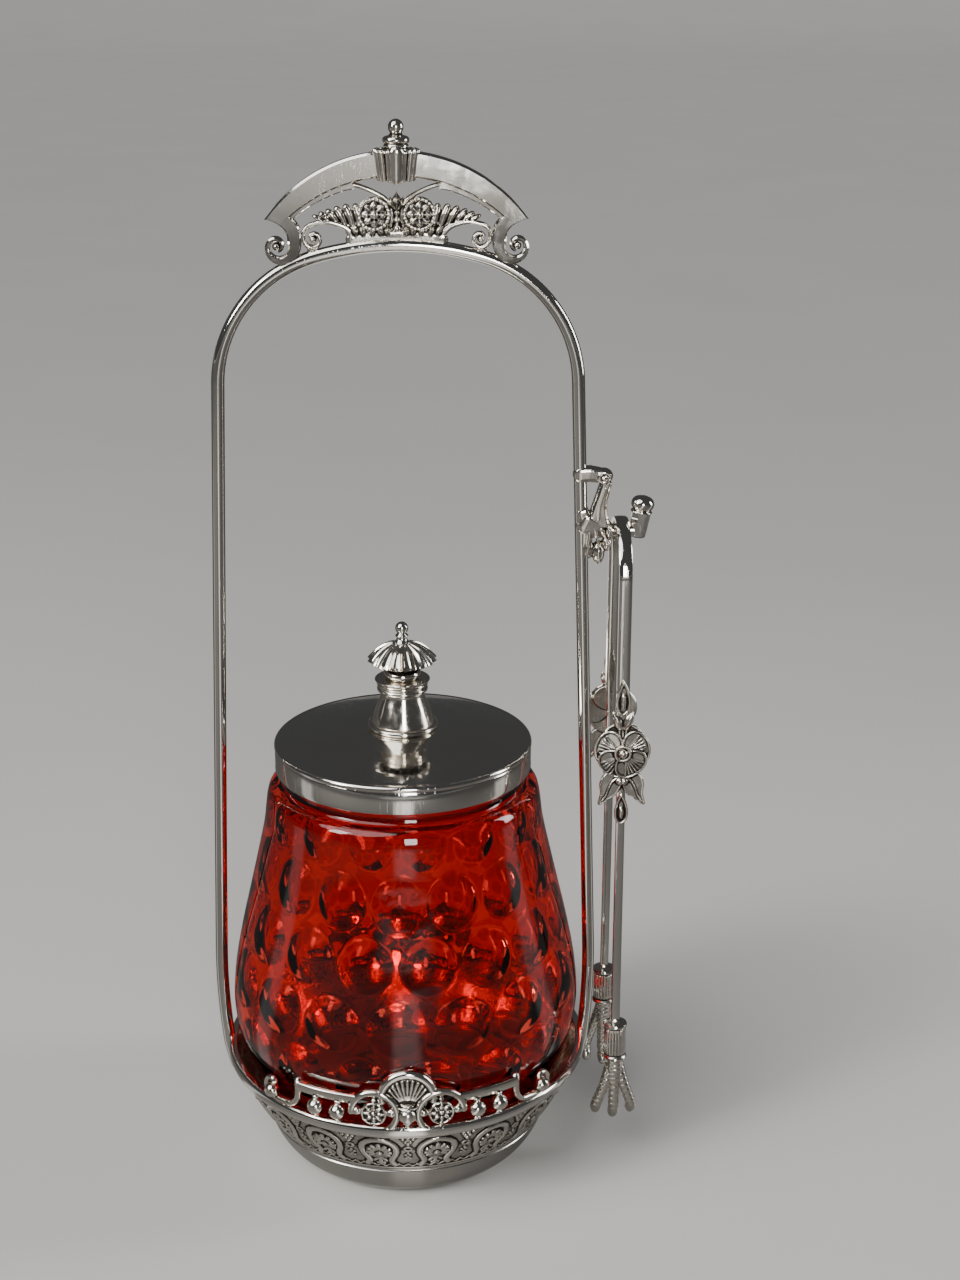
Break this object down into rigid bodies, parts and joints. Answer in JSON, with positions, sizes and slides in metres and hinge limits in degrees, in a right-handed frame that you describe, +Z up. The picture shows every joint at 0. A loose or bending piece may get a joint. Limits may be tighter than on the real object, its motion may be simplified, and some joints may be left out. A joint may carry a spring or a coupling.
{
  "type": "pickle castor",
  "caption": "Silver-plated pickle castor: ruby glass thumbprint jar in a footed cup with a tall arched bail, lift-off lid, and sprung claw tongs hung on a side hook.",
  "frame": {"origin": "centre of the foot's underside, on the surface that the castor stands on", "axes": "+Z up along the jar's axis, +X towards the side that carries the tongs, -Y towards the front gallery"},
  "size_m": [0.1253, 0.108, 0.2978],
  "materials": {
    "silver_plate": "polished silver plate with fine wipe marks",
    "satin_silver": "satin silver plate",
    "cast_silver": "cast silver plate, bright on its high points",
    "oxidised_silver": "silver plate with dark recesses",
    "ruby_glass": "transparent ruby glass with round prints on its inside",
    "brass": "turned brass"
  },
  "bodies": {
    "stand": {"foot_ring": "satin_silver", "base_floor": "satin_silver", "ornament_band": "oxidised_silver", "rim_border": "silver_plate", "gallery_front": "cast_silver", "gallery_back": "cast_silver", "bail_rod": "silver_plate", "crest_bar": "silver_plate", "crest_fretwork": "cast_silver", "crest_rosettes": "cast_silver", "crest_finial": "silver_plate", "hook_bracket": "cast_silver", "hook_peg": "silver_plate", "hook_knob": "silver_plate"},
    "jar": {"glass_jar": "ruby_glass"},
    "lid": {"lid_plate": "silver_plate", "lid_bell": "silver_plate", "lid_collar": "silver_plate", "lid_parasol": "cast_silver", "lid_knob": "silver_plate", "lid_stud": "brass", "lid_nut": "brass"},
    "tongs": {"spring_bow": "silver_plate"},
    "front_arm": {"front_arm_bar": "silver_plate", "front_flower": "oxidised_silver", "front_ferrule": "oxidised_silver", "front_claw": "oxidised_silver"},
    "rear_arm": {"rear_arm_bar": "silver_plate", "rear_flower": "oxidised_silver", "rear_ferrule": "oxidised_silver", "rear_claw": "oxidised_silver"}
  },
  "joints": [
    {"name": "jar_lift", "type": "slide", "parent": "stand", "child": "jar", "axis": [0, 0, 1], "range_m": [0, 0.03]},
    {"name": "lid_lift", "type": "slide", "parent": "jar", "child": "lid", "axis": [0, 0, 1], "range_m": [0, 0.045]},
    {"name": "tongs_lift", "type": "slide", "parent": "stand", "child": "tongs", "axis": [0, 0, 1], "range_m": [0, 0.02]},
    {"name": "front_arm_squeeze", "type": "hinge", "parent": "tongs", "child": "front_arm", "pos_m": [0.06078, -0.0132, 0.17665], "axis": [1, 0, 0], "range_deg": [0, 4.5], "stiffness_Nm_per_rad": 2},
    {"name": "rear_arm_squeeze", "type": "hinge", "parent": "tongs", "child": "rear_arm", "pos_m": [0.06078, 0.0132, 0.17665], "axis": [1, 0, 0], "range_deg": [-4.5, 0], "stiffness_Nm_per_rad": 2}
  ],
  "couplings": [
    {"joint": "rear_arm_squeeze", "follows": "front_arm_squeeze", "ratio": -1}
  ]
}
